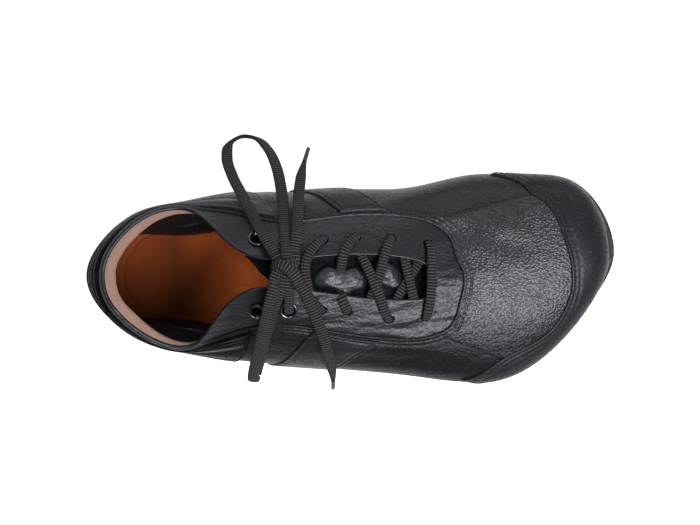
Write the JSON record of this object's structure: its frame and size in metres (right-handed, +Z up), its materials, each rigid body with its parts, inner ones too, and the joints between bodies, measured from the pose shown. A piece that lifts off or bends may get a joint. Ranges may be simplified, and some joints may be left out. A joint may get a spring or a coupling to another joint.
{
  "type": "barefoot shoe",
  "caption": "Low-cut lace-up barefoot shoe for the right foot, with a thin flat sole, wide toe box, stitched leather upper, toe cap and ringed eyelets.",
  "frame": {"origin": "on the floor, under the middle of the shoe's box without its free lace", "axes": "+X from heel to toe, +Y to the medial side of the right foot, +Z up"},
  "size_m": [0.28, 0.137, 0.0881],
  "materials": {
    "sole_rubber": "pebbled matt",
    "insole_leather": "smooth, worn",
    "upper_leather": "soft, satin",
    "toe_leather": "satin, scuffed",
    "tongue_leather": "soft, wrinkled",
    "eyelet_metal": "dark, polished",
    "lace_cord": "ribbed weave",
    "aglet_plastic": "gloss"
  },
  "bodies": {
    "root": {"outsole": "sole_rubber", "insole": "insole_leather", "upper": "upper_leather", "tongue": "tongue_leather", "toe_cap": "toe_leather", "heel_counter": "upper_leather", "side_strap_medial": "upper_leather", "side_strap_lateral": "upper_leather", "eyelet_ring_medial_1": "eyelet_metal", "eyelet_ring_medial_2": "eyelet_metal", "eyelet_ring_lateral_1": "eyelet_metal", "eyelet_ring_lateral_2": "eyelet_metal", "lace_crossings": "lace_cord", "lace_knot": "lace_cord", "lace_loop_medial": "lace_cord", "lace_loop_lateral": "lace_cord", "lace_end_medial": "lace_cord", "lace_end_lateral": "lace_cord", "aglet_medial": "aglet_plastic", "aglet_lateral": "aglet_plastic"}
  },
  "joints": []
}
